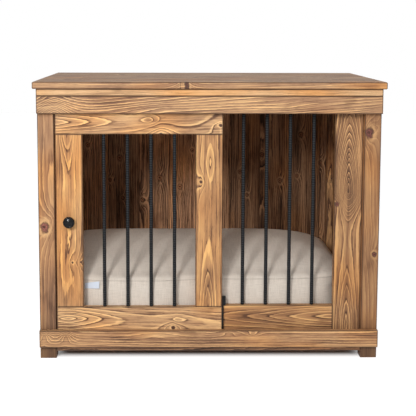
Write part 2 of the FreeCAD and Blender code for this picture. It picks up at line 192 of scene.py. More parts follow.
def new_group(name, inputs, outputs):
    """An empty node group; inputs and outputs map a socket's name to its kind."""
    group = bpy.data.node_groups.new(name, "ShaderNodeTree")
    for way, sockets in (("INPUT", inputs), ("OUTPUT", outputs)):
        for socket, kind in sockets.items():
            group.interface.new_socket(name=socket, in_out=way, socket_type="NodeSocket" + kind)
    tree = Tree(group)
    return group, tree, tree.add("NodeGroupInput").outputs, tree.add("NodeGroupOutput").inputs


def new_material(name):
    material = bpy.data.materials.new(name)
    material.use_nodes = True
    shader = material.node_tree.nodes["Principled BSDF"]
    return material, Tree(material.node_tree), shader


def new_object(name, data):
    thing = bpy.data.objects.new(name, data)
    bpy.context.scene.collection.objects.link(thing)
    return thing


def set_material(piece, material):
    piece.data.materials.clear()
    piece.data.materials.append(material)


# Figures: how a knot or a bend of the heart line moves the rings round it

FIGURE_POINT = 1.45
KNOT_STRETCH_SHARE = 0.8
KNOT_WOBBLE = 1.3
WOBBLE_WAVES = (90.0, 90.0, 90.0)
WOBBLE_SEED = 3.0


def make_bulge_group():
    """How a figure lifts the rings, and how far out of its knot a point lies, in knot radii."""
    kinds = dict.fromkeys(("Ahead", "Behind", "Aside", "Rings", "Core"), "Float")
    kinds.update(Point="Vector", Centre="Vector")
    group, tree, given, out = new_group("grain_bulge", kinds, {"Lift": "Float", "Core": "Float"})
    offset = tree.vector("SUBTRACT", given["Point"], given["Centre"])
    along, across, _ = tree.split(offset)
    ahead = tree.math("DIVIDE", along, given["Ahead"])
    behind = tree.math("DIVIDE", tree.times(along, -1.0), given["Behind"])
    aside = tree.math("DIVIDE", tree.math("ABSOLUTE", across), given["Aside"])
    reach = tree.plus(tree.math("POWER", tree.math("MAXIMUM", ahead, behind), FIGURE_POINT),
                      tree.math("POWER", aside, FIGURE_POINT))
    fall = tree.math("POWER", math.e, tree.times(reach, -1.0))
    tree.put(out["Lift"], tree.times(fall, given["Rings"]))
    from_centre = tree.vector("LENGTH", tree.vector("MULTIPLY", offset, (KNOT_STRETCH_SHARE, 1.0, 0.0)))
    wobble = tree.noise(offset, WOBBLE_WAVES, WOBBLE_SEED, 1.0)
    share = tree.math("DIVIDE", from_centre, given["Core"])
    tree.put(out["Core"], tree.plus(share, tree.swing(wobble, KNOT_WOBBLE)))
    return group


# Pine: growth rings about a heart line

# Marks: waves to a metre along and across the grain, how far their seed lies from the timber's own, and
# the noise's detail and roughness
Marks = namedtuple("Marks", "along across apart detail rough", defaults=(0.0, 2.0, 0.5))
PINE_MARKS = {
    "sway": Marks(5.0, 26.0),
    "ragged": Marks(34.0, 190.0, rough=0.6),
    "fade": Marks(8.0, 20.0, apart=110.0),
    "fibre": Marks(6.0, 380.0, detail=3.0, rough=0.65),
    "streak": Marks(1.6, 70.0),
    "blotch": Marks(6.0, 18.0, detail=3.0),
    "fleck": Marks(70.0, 600.0, detail=1.0),
    "stroke": Marks(9.0, 270.0, apart=20.0),
    "warm": Marks(4.0, 9.0, apart=50.0, detail=1.0),
    "smudge": Marks(13.0, 26.0, apart=80.0),
    "crack": Marks(160.0, 420.0),
}
# Rings: how far the heart line wanders, how far a ring sways, how ragged it is and how the pace changes
HEART_WANDER = 0.03
WANDER_WAVES = (1.3, 1.3, 1.3)
RING_SWAY = 0.007
RING_RAGGED = 0.0030
RING_PACE = 1.8
PACE_WAVES = (0.4, 0.4, 0.4)
# Tones across one ring, from its inner side to its outer one
RING_MIDDLE = 0.44
RING_TONE_SHARES = (
    (0.0, 0.0), (0.1, 0.03), (0.2, 0.38), (0.45, RING_MIDDLE), (0.7, 0.52), (0.79, 0.96), (0.94, 1.0),
    (1.0, 0.0),
)
# A ring shows more where a figure crowds the rings, up to a most
CROWDED_GAIN = 0.16
CROWDED_MOST = 0.6
FIBRE_GAIN = 0.6
BLOTCH_GAIN = 1.0
# Strengths of strokes, flecks, patches and halos
PALE_STROKE = 0.2
DARK_STROKE = 0.28
FLECK = 0.18
PATCH_SHARE = 0.8
HALO_SHARE = 0.6
# Roughness of the dark wood and of the pale wood
PINE_ROUGHNESS = (0.62, 0.46)
KNOT_RING_TURN = 16.0
KNOT_RING_GAIN = 0.2
RIM_STAIN_SHARE = 0.5
GROOVE_RING_SHARE = 0.7
GROOVE_FIBRE_SHARE = 0.6
WARM_TINT = (1.14, 0.9, 0.58)
SMUDGE_TINT = (0.62, 0.58, 0.58)
# Dark colour of the stain on the arrises and the knot rims, also the colour of the painted shade on the
# feet
STAIN_AND_SHADE_COLOUR = (0.06, 0.032, 0.02)
KNOT_CENTRE = (0.09, 0.03, 0.018)
STAIN_PARTS = ("Light", "Middle", "Dark", "Knot")


def pine_marks(tree, given):
    """The noises of PINE_MARKS, drawn out along the grain."""
    marks = {}
    for kind, row in PINE_MARKS.items():
        seed = tree.plus(given["Seed"], row.apart)
        waves = (row.along, row.across, row.across)
        marks[kind] = tree.noise(given["Point"], waves, seed, row.detail, row.rough)
    return marks


def count_rings(tree, given, marks):
    """How many rings lie between the heart line and the point."""
    along, across, depth = tree.split(given["Point"])
    drift = tree.noise(tree.join(along, 0.0, 0.0), WANDER_WAVES, given["Seed"], 1.0, output="Color")
    drift_across, drift_depth, _ = tree.split(drift)
    from_heart = tree.join(tree.plus(across, tree.swing(drift_across, HEART_WANDER)),
                           tree.plus(depth, tree.swing(drift_depth, HEART_WANDER)), 0.0)
    radius = tree.vector("LENGTH", from_heart)
    for kind, gain in (("sway", RING_SWAY), ("ragged", RING_RAGGED)):
        radius = tree.plus(radius, tree.swing(marks[kind], gain))
    rings = tree.plus(tree.math("DIVIDE", radius, given["Ring width"]), given["Lift"])
    pace = tree.noise(tree.join(rings, 0.0, 0.0), PACE_WAVES, given["Seed"], 1.0)
    return tree.plus(rings, tree.swing(pace, RING_PACE))


def ring_strength(tree, given, marks, rings):
    """How strongly a ring shows: by chance, by its place, and by how crowded the rings are."""
    chance = tree.add("ShaderNodeTexWhiteNoise", noise_dimensions="2D")
    tree.put(chance.inputs["Vector"], tree.join(tree.math("FLOOR", rings), given["Seed"], 0.0))
    by_chance = tree.spread(chance.outputs["Value"], 0.0, 1.0, 0.4, 1.4)
    strength = tree.times(by_chance, tree.spread(marks["fade"], 0.35, 0.65, 0.3, 1.4))
    crowded = tree.times(tree.math("ABSOLUTE", given["Lift"]), CROWDED_GAIN)
    return tree.plus(strength, tree.math("MINIMUM", crowded, CROWDED_MOST))


def wood_tone(tree, given, marks, rings, flecks):
    """The wood's tone, from dark at nothing to pale at one."""
    tone = tree.plus(rings, tree.swing(marks["fibre"], FIBRE_GAIN))
    tone = tree.plus(tone, tree.smooth(marks["stroke"], 0.38, 0.45, PALE_STROKE, 0.0))
    tone = tree.minus(tone, tree.smooth(marks["stroke"], 0.57, 0.65, 0.0, DARK_STROKE))
    tone = tree.minus(tone, flecks)
    tone = tree.plus(RING_MIDDLE, tree.times(tone, given["Contrast"]))
    tone = tree.plus(tone, tree.swing(marks["streak"], given["Streaks"]))
    return tree.plus(tone, tree.swing(marks["blotch"], BLOTCH_GAIN))


def stained_wood(tree, given, marks, tone):
    """The stain's colour at a tone, with warm patches and smudges."""
    wood = tree.mix(tree.spread(tone, 0.0, RING_MIDDLE, 0.0, 1.0), given["Dark"], given["Middle"])
    wood = tree.mix(tree.spread(tone, RING_MIDDLE, 1.0, 0.0, 1.0), wood, given["Light"])
    wood = tree.mix(tree.spread(marks["warm"], 0.5, 0.72, 0.0, PATCH_SHARE), wood, WARM_TINT, "MULTIPLY")
    smudged = tree.smooth(marks["smudge"], 0.56, 0.74, 0.0, PATCH_SHARE)
    return tree.mix(smudged, wood, SMUDGE_TINT, "MULTIPLY")


def draw_knots(tree, given, marks, wood):
    """Pale halos round the knots, and the knots with their rings, cracks, centres and dark rims."""
    share = given["Core"]
    halo = tree.times(tree.smooth(share, 1.0, 1.5, 0.0, 1.0), tree.smooth(share, 1.6, 2.6, HALO_SHARE, 0.0))
    halo = tree.times(halo, tree.spread(marks["blotch"], 0.36, 0.56, 0.0, 1.0))
    wood = tree.mix(halo, wood, given["Light"])
    knot_rings = tree.times(tree.math("SINE", tree.times(share, KNOT_RING_TURN)), KNOT_RING_GAIN)
    knot_tone = tree.plus(knot_rings, tree.spread(marks["crack"], 0.3, 0.7, 0.4, 1.5))
    knot = tree.mix(1.0, given["Knot"], knot_tone, "MULTIPLY")
    knot = tree.mix(tree.smooth(share, 0.2, 0.5, 1.0, 0.0), knot, KNOT_CENTRE)
    wood = tree.mix(tree.smooth(share, 0.85, 1.1, 1.0, 0.0), wood, knot)
    rim = tree.times(tree.smooth(share, 0.65, 0.95, 0.0, 1.0), tree.smooth(share, 1.0, 1.45, 1.0, 0.0))
    rim = tree.times(rim, tree.spread(marks["smudge"], 0.35, 0.6, 0.35, 1.0))
    return tree.mix(rim, wood, tree.mix(RIM_STAIN_SHARE, STAIN_AND_SHADE_COLOUR, given["Dark"]))


def make_pine_group():
    """Colour, roughness and height of pine at a point given along, across and away from the heart line."""
    numbers = ("Lift", "Core", "Seed", "Ring width", "Contrast", "Streaks", "Edge", "Darkening")
    kinds = dict.fromkeys(numbers, "Float")
    kinds.update(dict.fromkeys(STAIN_PARTS, "Color"), Point="Vector")
    outputs = {"Colour": "Color", "Roughness": "Float", "Height": "Float"}
    group, tree, given, out = new_group("pine_grain", kinds, outputs)
    marks = pine_marks(tree, given)
    rings = count_rings(tree, given, marks)
    ring_tone = tree.ramp(tree.math("FRACT", rings), RING_TONE_SHARES)
    shown_rings = tree.times(tree.minus(ring_tone, RING_MIDDLE), ring_strength(tree, given, marks, rings))
    flecks = tree.smooth(marks["fleck"], 0.6, 0.72, 0.0, FLECK)
    tone = wood_tone(tree, given, marks, shown_rings, flecks)
    wood = draw_knots(tree, given, marks, stained_wood(tree, given, marks, tone))
    edge = tree.times(given["Edge"], tree.spread(marks["fibre"], 0.3, 0.6, 1.0, 0.75))
    # Stain on the arrises, and the darkening that the timber gives: painted shade on the feet, a darker
    # upper face on the table top
    tree.put(out["Colour"], tree.mix(tree.math("MAXIMUM", given["Darkening"], edge), wood, STAIN_AND_SHADE_COLOUR))
    tree.put(out["Roughness"], tree.spread(tone, 0.0, 1.0, *PINE_ROUGHNESS))
    fibres = tree.times(marks["fibre"], GROOVE_FIBRE_SHARE)
    grooves = tree.plus(tree.times(ring_tone, GROOVE_RING_SHARE), fibres)
    tree.put(out["Height"], tree.minus(grooves, flecks))
    return group


# Timbers

# The way that a timber's grain, width and depth lie on X, Y and Z
UPRIGHT = (2, 0, 1)
LEVEL = (0, 2, 1)
ACROSS_SIDE = (1, 2, 0)
UPRIGHT_SIDE = (2, 1, 0)
FLAT = (0, 1, 2)

# Stains: the pale late wood, the wood between, the dark line outside each ring, and the knots
HONEY = ((1.0, 0.64, 0.3), (0.57, 0.325, 0.165), (0.15, 0.075, 0.042), (0.11, 0.05, 0.03))
GOLDEN = ((0.95, 0.56, 0.22), (0.56, 0.288, 0.125), (0.13, 0.06, 0.032), (0.11, 0.05, 0.03))
TAWNY = ((0.95, 0.59, 0.27), (0.47, 0.258, 0.136), (0.13, 0.064, 0.04), (0.12, 0.055, 0.035))
RUSSET = ((0.88, 0.53, 0.245), (0.42, 0.222, 0.113), (0.11, 0.054, 0.032), (0.30, 0.105, 0.075))
BROWN = ((0.72, 0.41, 0.18), (0.34, 0.17, 0.08), (0.09, 0.042, 0.023), (0.16, 0.055, 0.04))
CHESTNUT = ((0.86, 0.5, 0.205), (0.44, 0.22, 0.098), (0.11, 0.052, 0.028), (0.16, 0.055, 0.04))
PALE = ((0.92, 0.6, 0.32), (0.72, 0.43, 0.21), (0.30, 0.155, 0.08), (0.2, 0.1, 0.06))
UMBER = ((0.5, 0.28, 0.15), (0.24, 0.128, 0.073), (0.055, 0.029, 0.018), (0.30, 0.14, 0.07))
BEECH = ((0.70, 0.5, 0.32), (0.62, 0.43, 0.27), (0.42, 0.27, 0.16), (0.3, 0.18, 0.1))

# One timber's grain: its ring width; the heart line's place across, its depth behind the face and how that
# changes along the timber, in widths; the figures; how far the heart line moves across, in widths; and the
# strength of rings, streaks and gloss
Grain = namedtuple("Grain", "lie stain ring heart figures rise contrast streaks gloss",
                   defaults=((), 0.0, 1.0, 0.5, 0.3))
# One figure: its place along, in lengths, and across; its reach along and aside; how many rings it moves;
# its knot's radius; and its reach backwards as a share of that ahead. The other lengths are in widths.
Figure = namedtuple("Figure", "along across length width rings core tail", defaults=(0.0, 1.0))
SIDE_RAIL_RING = 0.0036


def side_rail(heart, along, across):
    """A rail of the sides, with one knot."""
    return Grain(ACROSS_SIDE, TAWNY, SIDE_RAIL_RING, heart, ((along, across, 0.9, 0.6, 4.0, 0.12),))


GRAIN_SHARES = {
    "front_top_rail": Grain(
        LEVEL, TAWNY, 0.007, (1.1, 0.6, 0.2),
        ((0.052, 0.0, 0.95, 1.0, 8.0), (0.36, 0.3, 2.2, 0.3, 1.2), (0.72, 0.35, 2.4, 0.3, -1.2)),
        rise=1.5, contrast=0.9),
    "front_bottom_rail": Grain(
        LEVEL, RUSSET, 0.0065, (1.5, 0.5, 0.2),
        ((0.014, 0.7, 0.36, 0.4, 3.5), (0.078, 0.66, 0.36, 0.4, 3.5), (0.34, 0.8, 1.6, 0.25, 1.4),
         (0.56, 0.85, 0.5, 0.2, 1.6), (0.63, 0.8, 0.4, 0.2, -1.4)),
        rise=-0.3, contrast=0.95, streaks=0.9),
    "door_top_rail": Grain(
        LEVEL, HONEY, 0.01, (0.44, 0.6, 0.1),
        ((-0.02, 0.45, 1.6, 0.3, -3.5), (0.56, 0.52, 0.42, 0.22, -1.7), (0.63, 0.0, 0.5, 0.4, 3.2, 0.05),
         (0.985, 0.34, 0.5, 0.35, 2.2, 0.05)),
        rise=0.25, contrast=0.95),
    "door_bottom_rail": Grain(
        LEVEL, HONEY, 0.011, (0.5, 0.6, 0.1),
        ((0.07, 0.55, 1.1, 0.26, -3.6), (0.703, 0.2, 0.35, 0.3, 3.0, 0.055), (0.72, 0.5, 0.5, 0.24, -2.0)),
        rise=-0.2, contrast=1.15),
    "door_left_stile": Grain(
        UPRIGHT, GOLDEN, 0.007, (0.45, 0.45, 0.05),
        ((1.0, 0.42, 0.75, 0.3, -2.6), (0.0, 0.5, 1.5, 0.35, 2.0), (0.26, 0.6, 0.3, 0.12, 1.5, 0.03),
         (0.262, 0.92, 0.4, 0.2, 2.0, 0.035)),
        contrast=0.66, streaks=0.4),
    "door_right_stile": Grain(
        UPRIGHT, GOLDEN, 0.01, (0.5, 0.5, 0.05),
        ((0.843, 0.54, 0.75, 0.17, -1.5), (0.727, 0.2, 0.3, 0.2, 2.0, 0.045), (0.0, 0.47, 1.2, 0.22, -2.4)),
        contrast=0.8),
    "grille_bottom_rail": Grain(
        LEVEL, CHESTNUT, 0.0095, (0.62, 0.7, 0.0), ((0.98, 0.6, 2.6, 0.36, -5.0),), contrast=0.74),
    "grille_end_stile": Grain(
        UPRIGHT, BROWN, 0.0075, (0.5, 0.6, 0.15),
        ((0.645, 0.5, 2.0, 0.42, -13.0, 0.0, 0.3), (0.59, 0.1, 0.4, 0.3, 2.5, 0.07),
         (0.05, 0.5, 1.9, 0.3, -4.0)),
        contrast=0.82, streaks=1.3),
    "front_left_post": Grain(
        UPRIGHT, RUSSET, 0.0085, (1.15, 0.5, 0.3),
        ((0.505, 0.37, 1.1, 0.55, 3.0, 0.22), (0.53, 0.75, 0.6, 0.35, 1.8)),
        rise=-0.4, contrast=0.42, streaks=0.9),
    "front_right_post": Grain(
        UPRIGHT, BROWN, 0.0085, (-0.6, 0.6, 0.5),
        ((0.862, 0.27, 0.8, 0.5, 3.5, 0.22), (0.885, 0.5, 0.4, 0.4, 2.0), (0.4, 0.75, 0.6, 0.4, 2.0, 0.12)),
        contrast=0.32, streaks=0.8),
    "table_top": Grain(
        FLAT, TAWNY, 0.0046, (0.5, 0.5, 0.2),
        ((0.4165, 0.02, 0.2, 0.12, 2.0, 0.016), (0.4345, 0.01, 0.2, 0.12, 2.0, 0.042),
         (0.7, 0.6, 0.5, 0.25, 3.5, 0.07)),
        contrast=0.6, streaks=1.0),
    "roof_panel": Grain(FLAT, PALE, 0.004, (0.5, 1.4, 0.3)),
    "grille_middle_stile": Grain(UPRIGHT, BROWN, 0.004, (0.4, 0.8, 0.3)),
    "grille_top_rail": Grain(LEVEL, BROWN, 0.0036, (0.4, 0.9, 0.3)),
    "rear_left_post": Grain(UPRIGHT, TAWNY, 0.0036, (0.2, 0.9, 0.5), ((0.35, 0.5, 0.8, 0.5, 4.0, 0.2),)),
    "rear_right_post": Grain(UPRIGHT, TAWNY, 0.0036, (0.8, 0.9, -0.5), ((0.68, 0.4, 0.8, 0.5, 4.0, 0.2),)),
    "left_top_rail": side_rail((0.3, 0.8, 0.6), 0.4, 0.3),
    "left_bottom_rail": side_rail((0.7, 0.8, -0.5), 0.7, 0.6),
    "right_top_rail": side_rail((0.6, 0.8, -0.5), 0.6, 0.4),
    "right_bottom_rail": side_rail((0.2, 0.9, 0.5), 0.25, 0.6),
    "rear_top_rail": Grain(LEVEL, UMBER, 0.0036, (0.4, 0.9, 0.4)),
    "rear_left_cleat": Grain(UPRIGHT, UMBER, 0.003, (0.4, 1.5, 0.4)),
    "rear_right_cleat": Grain(UPRIGHT, BROWN, 0.003, (0.4, 1.5, 0.4)),
    "front_bearer": Grain(LEVEL, UMBER, 0.0036, (0.4, 1.0, 0.4)),
    "middle_bearer": Grain(LEVEL, BROWN, 0.0036, (0.6, 1.0, -0.4)),
    "rear_bearer": Grain(LEVEL, BROWN, 0.0036, (0.3, 1.1, 0.4)),
    "left_wall_boards": Grain(
        UPRIGHT_SIDE, BROWN, 0.004, (0.5, 0.5, 0.2), ((0.3, 0.4, 0.5, 0.3, 3.5, 0.08),)),
    "right_wall_boards": Grain(
        UPRIGHT_SIDE, BROWN, 0.004, (0.5, 0.5, 0.2), ((0.7, 0.6, 0.5, 0.3, 3.5, 0.08),)),
    "floor_boards": Grain(FLAT, BROWN, 0.004, (0.5, 0.6, 0.2), ((0.5, 0.4, 0.5, 0.3, 3.5, 0.08),)),
    "door_runner": Grain(LEVEL, BEECH, 0.002, (0.5, 3.0, 0.5)),
    "carcass_tenons": Grain(ACROSS_SIDE, BEECH, 0.002, (0.5, 3.0, 0.2)),
    "door_tenons": Grain(UPRIGHT, BEECH, 0.002, (0.5, 3.0, 0.2)),
    "grille_tenons": Grain(UPRIGHT, BEECH, 0.002, (0.5, 3.0, 0.2)),
}

# Boards side by side in one node, by the width of one, and how far each one's knots move on, in lengths
BOARD_PITCH = {
    "left_wall_boards": 0.1035,
    "right_wall_boards": 0.1035,
    "floor_boards": 0.09433,
    "table_top": 0.11,
    "roof_panel": 0.128,
}
BOARD_STAGGER_SHARE = 0.618
BOARD_SEED_STEP = 5.7
TIMBER_SEED_STEP = 3.1
GRAIN_DEPTH = 0.0006
GRAIN_BUMP = 0.6
# Painted shade on the feet, fading out between two heights, and darkening on the table top's upper face
FOOT_PAINTED_SHADE_HEIGHTS = (0.03, 0.17)
FOOT_PAINTED_SHADE = 0.72
TOP_FACE_DEPTH = 0.001
TOP_FACE_DARKENING = 0.2
# Stain gathers on the arrises, and fades between two distances from them
EDGE_STAIN = 0.9
EDGE_STAIN_WIDTHS = (0.0014, 0.0036)
KNOT_FAR = 9.0
KNOT_LEAST_SHARE = 0.01

# Back wall: how pale each board is, as a factor on its stain, and the limits of its heart line
BACK_BOARD_PALENESS = (1.5, 1.05, 1.6, 1.75, 1.3, 0.85, 0.9, 0.82, 1.05)
BACK_BOARD = Grain(UPRIGHT, UMBER, 0.0055, (), contrast=1.5, streaks=1.5, gloss=0.06)
BACK_BOARD_SEED = 11
BACK_HEART_SHARES = ((-0.6, 0.1), (0.2, 0.5), (-0.1, 0.1))
# Figures round its knots: reach along and aside in knot radii, and limits of the rings they move
BACK_FIGURE_LENGTH = 5
BACK_FIGURE_WIDTH = 2.6
BACK_FIGURE_RINGS = (1.5, 3.0)
# Its knots: X, Z and radius
BACK_KNOTS = (
    (-0.397, 0.559, 0.006), (-0.322, 0.438, 0.005), (-0.288, 0.514, 0.008), (-0.278, 0.375, 0.005),
    (-0.21, 0.368, 0.006), (-0.151, 0.445, 0.008), (-0.082, 0.414, 0.007), (-0.04, 0.54, 0.005),
    (0.124, 0.466, 0.006), (0.149, 0.386, 0.005), (0.199, 0.525, 0.006), (0.262, 0.435, 0.006),
    (0.32, 0.452, 0.005), (0.332, 0.594, 0.007), (0.399, 0.497, 0.006), (-0.4, 0.2, 0.006),
    (-0.25, 0.15, 0.007), (-0.02, 0.24, 0.006), (0.05, 0.64, 0.006), (0.24, 0.16, 0.007),
    (0.4, 0.23, 0.006), (-0.16, 0.7, 0.006), (0.15, 0.7, 0.005), (0.03, 0.12, 0.006),
)


def back_board_figures(name, draw):
    """The figures round those knots of the back wall that lie in one board."""
    low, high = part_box(name)
    width = high.x - low.x
    figures = []
    for x, z, radius in BACK_KNOTS:
        if low.x <= x < high.x:
            size = radius / width
            along = (z - low.z) / (high.z - low.z)
            figures.append(Figure(along, (x - low.x) / width, size * BACK_FIGURE_LENGTH,
                                  size * BACK_FIGURE_WIDTH, draw.uniform(*BACK_FIGURE_RINGS), size))
    return figures


def back_board_grain(name, draw):
    """The grain of one board of the back wall, by its number."""
    heart = tuple(draw.uniform(*limits) for limits in BACK_HEART_SHARES)
    pale = BACK_BOARD_PALENESS[int(name.rsplit("_", 1)[1]) - 1]
    stain = [[part * pale for part in colour] for colour in BACK_BOARD.stain]
    return BACK_BOARD._replace(stain=stain, heart=heart, figures=back_board_figures(name, draw))


def edge_share(tree, place, low, high):
    """A share of stain on a timber's arrises, and nothing away from them."""
    x, y, z = (tree.math("MINIMUM", tree.minus(place[axis], low[axis]), tree.minus(high[axis], place[axis]))
               for axis in range(3))
    second = tree.math("MINIMUM", tree.math("MAXIMUM", x, y), z)
    middle = tree.math("MAXIMUM", tree.math("MINIMUM", x, y), second)
    return tree.smooth(middle, *EDGE_STAIN_WIDTHS, EDGE_STAIN, 0.0)


def add_figures(tree, grain, point, length, pitch, bulge_group):
    """How far a grain's figures lift the rings, and how far out of the nearest knot a point lies."""
    lift = 0.0
    core = KNOT_FAR
    for figure in (Figure(*shares) for shares in grain.figures):
        bulge = tree.add("ShaderNodeGroup", node_tree=bulge_group)
        tree.fill(bulge, {
            "Point": point,
            "Centre": (figure.along * length, figure.across * pitch, 0.0),
            "Ahead": figure.length * pitch,
            "Behind": figure.length * figure.tail * pitch,
            "Aside": figure.width * pitch,
            "Rings": figure.rings,
            "Core": max(figure.core, KNOT_LEAST_SHARE) * pitch,
        })
        lift = tree.plus(lift, bulge.outputs["Lift"])
        if figure.core:
            core = tree.math("MINIMUM", core, bulge.outputs["Core"])
    return lift, core


def pine_material(name, grain, seed, bulge_group, pine_group):
    """Pine for one timber, its grain laid out from the timber's own box."""
    material, tree, shader = new_material("pine_" + name)
    low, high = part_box(name)
    lie = grain.lie
    length = high[lie[0]] - low[lie[0]]
    pitch = BOARD_PITCH.get(name, high[lie[1]] - low[lie[1]])
    place = tree.split(tree.place())
    along, across, depth = (tree.minus(place[axis], low[axis]) for axis in lie)
    knot_along = along
    if name in BOARD_PITCH:
        board = tree.math("FLOOR", tree.math("DIVIDE", across, pitch))
        across = tree.minus(across, tree.times(board, pitch))
        seed = tree.plus(tree.times(board, BOARD_SEED_STEP), seed)
        moved = tree.plus(along, tree.times(board, BOARD_STAGGER_SHARE * length))
        knot_along = tree.math("FLOORED_MODULO", moved, length)
    lift, core = add_figures(tree, grain, tree.join(knot_along, across, depth), length, pitch, bulge_group)

    heart_across, heart_depth, heart_drift = grain.heart
    sunk = tree.plus(tree.times(along, heart_drift * pitch / length), heart_depth * pitch)
    aside = tree.plus(tree.times(along, grain.rise * pitch / length), heart_across * pitch)
    from_heart = tree.join(along, tree.minus(across, aside), tree.minus(sunk, depth))
    darkening = 0.0
    # Painted shade: the posts grow darker towards the floor
    if name.endswith("_post"):
        darkening = tree.smooth(place[2], *FOOT_PAINTED_SHADE_HEIGHTS, FOOT_PAINTED_SHADE, 0.0)
    # The table top's upper face is darker
    if name == "table_top":
        darkening = tree.spread(place[2], high.z - TOP_FACE_DEPTH, high.z, 0.0, TOP_FACE_DARKENING)
    pine = tree.add("ShaderNodeGroup", node_tree=pine_group)
    tree.fill(pine, {
        "Point": from_heart, "Lift": lift, "Core": core, "Seed": seed, "Ring width": grain.ring,
        "Contrast": grain.contrast, "Streaks": grain.streaks, "Edge": edge_share(tree, place, low, high),
        "Darkening": darkening, **dict(zip(STAIN_PARTS, grain.stain)),
    })
    tree.fill(shader, {
        "Base Color": pine.outputs["Colour"],
        "Roughness": pine.outputs["Roughness"],
        "Normal": tree.bump(pine.outputs["Height"], GRAIN_DEPTH, GRAIN_BUMP),
        "Specular IOR Level": grain.gloss,
    })
    return material


def dress_timbers():
    """Gives every wooden node its own pine."""
    groups = make_bulge_group(), make_pine_group()
    draw = random.Random(BACK_BOARD_SEED)
    table = dict(GRAIN_SHARES)
    for name in sorted(nodes):
        if name.startswith("back_board_"):
            table[name] = back_board_grain(name, draw)
    for number, name in enumerate(sorted(table)):
        set_material(nodes[name], pine_material(name, table[name], number * TIMBER_SEED_STEP, *groups))


# Finishes of the fittings

# One finish: its colour, roughness and gloss, and the waves to a metre and the depth of its orange peel
Finish = namedtuple("Finish", "colour roughness gloss waves depth")
FINISHES = {
    "bar_lacquer": Finish((0.003, 0.0034, 0.004), 0.42, 0.12, 900.0, 0.0001),
    "knob_enamel": Finish((0.001, 0.001, 0.0014), 0.2, 0.2, 700.0, 0.00004),
    "strike_lacquer": Finish((0.012, 0.012, 0.013), 0.5, 0.2, 800.0, 0.0001),
    "catch_plastic": Finish((0.01, 0.01, 0.01), 0.6, 0.2, 600.0, 0.0001),
    "screw_zinc": Finish((0.45, 0.45, 0.43), 0.35, 0.5, 800.0, 0.0001),
}
# Fittings that show as their own solids
PLAIN_FITTINGS = {
    "strike_plate": "strike_lacquer",
    "magnetic_catch": "catch_plastic",
    "knob_screw": "screw_zinc",
}
# Wear: how much paler it is, by a factor and a step, and where it shows
WEAR_GAIN = 1.9
WEAR_STEP = 0.004
WEAR_WAVES = (40.0, 40.0, 40.0)
WEAR_SEED = 1.0
PEEL_ROUGHNESS = 0.08
PEEL_BUMP = 0.5


def finish_material(name):
    """A paint, plastic or plating with worn patches, uneven gloss and a fine orange peel."""
    finish = FINISHES[name]
    material, tree, shader = new_material(name)
    place = tree.place()
    peel = tree.noise(place, (finish.waves,) * 3, 0.0, 3.0)
    wear = tree.spread(tree.noise(place, WEAR_WAVES, WEAR_SEED), 0.35, 0.75, 0.0, 1.0)
    worn = tuple(min(1.0, part * WEAR_GAIN + WEAR_STEP) for part in finish.colour)
    smoothest = finish.roughness - PEEL_ROUGHNESS
    roughest = finish.roughness + PEEL_ROUGHNESS
    tree.fill(shader, {
        "Base Color": tree.mix(wear, finish.colour, worn),
        "Roughness": tree.spread(peel, 0.3, 0.7, smoothest, roughest),
        "Normal": tree.bump(peel, finish.depth, PEEL_BUMP),
        "Specular IOR Level": finish.gloss,
    })
    return material


def dress_plain_fittings():
    for name, finish in PLAIN_FITTINGS.items():
        set_material(nodes[name], finish_material(finish))


# New meshes

def mesh_piece(name, points, faces, body, smooth=True):
    """A new mesh object that rides on a body."""
    mesh = bpy.data.meshes.new(name)
    mesh.from_pydata([tuple(p) for p in points], [], [tuple(f) for f in faces])
    mesh.validate()
    if smooth:
        mesh.shade_smooth()
    piece = new_object(name, mesh)
    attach(piece, body)
    return piece


def tube_faces(rings, sides):
    """Quads between rings of points, with a cap on both ends."""
    faces = []
    for ring in range(rings - 1):
        for side in range(sides):
            near = ring * sides
            far = near + sides
            after = (side + 1) % sides
            faces.append((near + side, near + after, far + after, far + side))
    faces.append(tuple(reversed(range(sides))))
    faces.append(tuple(range((rings - 1) * sides, rings * sides)))
    return faces


# Ribbed bars

BAR_SIDES = 16
RIB_PITCH = 0.0068
RIB_HEIGHT = 0.0016
RIB_ROOT = -0.0003
RIB_LEAN = 0.0022
RIB_STEPS = 6
KEEL_HEIGHT = 0.0004
BORE_LENGTH = 0.020
# Exponents: how far a rib reaches round the bar, how sharp it is, and how narrow the keel is
CRESCENT_POWER = 0.6
RIB_POWER = 1.5
KEEL_POWER = 12
# Crests: paler where rubbed, and a painted highlight along the ribs
CREST_WEAR_AND_HIGHLIGHT_COLOUR = (0.044, 0.047, 0.052)


def ribbed_bar(name, body, material):
    """A rolled bar: slanting crescent ribs on both halves, a keel on each side, plain ends in the bores."""
    low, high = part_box(name)
    core = (high.x - low.x) / 2
    step = RIB_PITCH / RIB_STEPS
    heights = np.arange(low.z, high.z + step / 2, step)
    heights[-1] = high.z
    angles = np.arange(BAR_SIDES) * math.tau / BAR_SIDES
    z, angle = np.meshgrid(heights, angles, indexing="ij")
    crescent = np.abs(np.sin(angle)) ** CRESCENT_POWER
    wave = np.cos(math.tau * (z + RIB_LEAN * np.cos(angle)) / RIB_PITCH)
    rib = RIB_HEIGHT * crescent * np.clip(wave, 0.0, 1.0) ** RIB_POWER
    keel = KEEL_HEIGHT * np.abs(np.cos(angle)) ** KEEL_POWER
    out_of_bore = np.clip((np.minimum(z - low.z, high.z - z) - BORE_LENGTH) / step, 0.0, 1.0)
    radius = core + (np.maximum(rib, keel) + RIB_ROOT) * out_of_bore
    x = (low.x + high.x) / 2 + radius * np.cos(angle)
    y = (low.y + high.y) / 2 + radius * np.sin(angle)
    points = np.stack([x, y, z], axis=-1).reshape(-1, 3)
    piece = mesh_piece("ribbed_" + name, points, tube_faces(len(heights), BAR_SIDES), body)
    set_material(piece, material)
    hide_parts(name)


